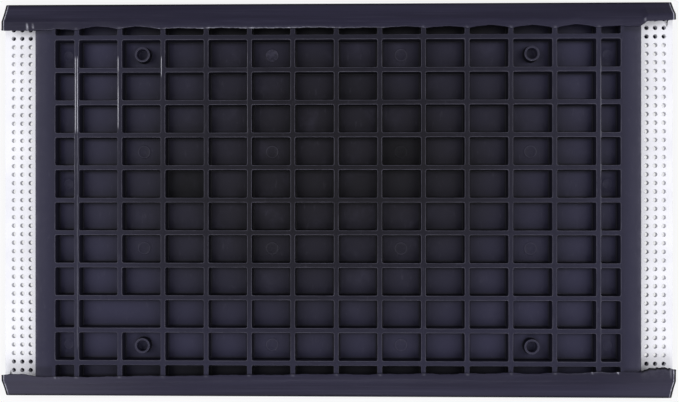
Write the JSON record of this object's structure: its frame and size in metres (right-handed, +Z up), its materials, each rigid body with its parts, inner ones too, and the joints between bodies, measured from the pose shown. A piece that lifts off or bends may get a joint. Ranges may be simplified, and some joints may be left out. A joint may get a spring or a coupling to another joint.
{
  "type": "ribbed tray panel",
  "caption": "Flat oblong tray: ribbed grid panel of shallow pockets with ring bosses, on a perforated sheet, between two soft ramped edge rails.",
  "frame": {"origin": "centre of the footprint, on the plane the rails stand on", "axes": "+Z up, out of the ribbed face; +X along the length; +Y across, towards the rear rail"},
  "size_m": [0.624, 0.366, 0.0203],
  "materials": {
    "panel_plastic": "moulded, fine matt grain",
    "rail_plastic": "soft extruded plastic, satin",
    "sheet_plastic": "smooth white sheet, punched",
    "fastener_steel": "zinc plated"
  },
  "bodies": {
    "root": {"cell_panel": "panel_plastic", "perforated_sheet": "sheet_plastic", "rear_rail": "rail_plastic", "front_rail": "rail_plastic", "rear_rail_cap_left": "rail_plastic", "rear_rail_cap_right": "rail_plastic", "front_rail_cap_left": "rail_plastic", "front_rail_cap_right": "rail_plastic", "panel_screw_left_front": "fastener_steel", "panel_washer_left_front": "fastener_steel", "panel_screw_left_middle": "fastener_steel", "panel_washer_left_middle": "fastener_steel", "panel_screw_left_rear": "fastener_steel", "panel_washer_left_rear": "fastener_steel", "panel_screw_right_front": "fastener_steel", "panel_washer_right_front": "fastener_steel", "panel_screw_right_middle": "fastener_steel", "panel_washer_right_middle": "fastener_steel", "panel_screw_right_rear": "fastener_steel", "panel_washer_right_rear": "fastener_steel"}
  },
  "joints": []
}
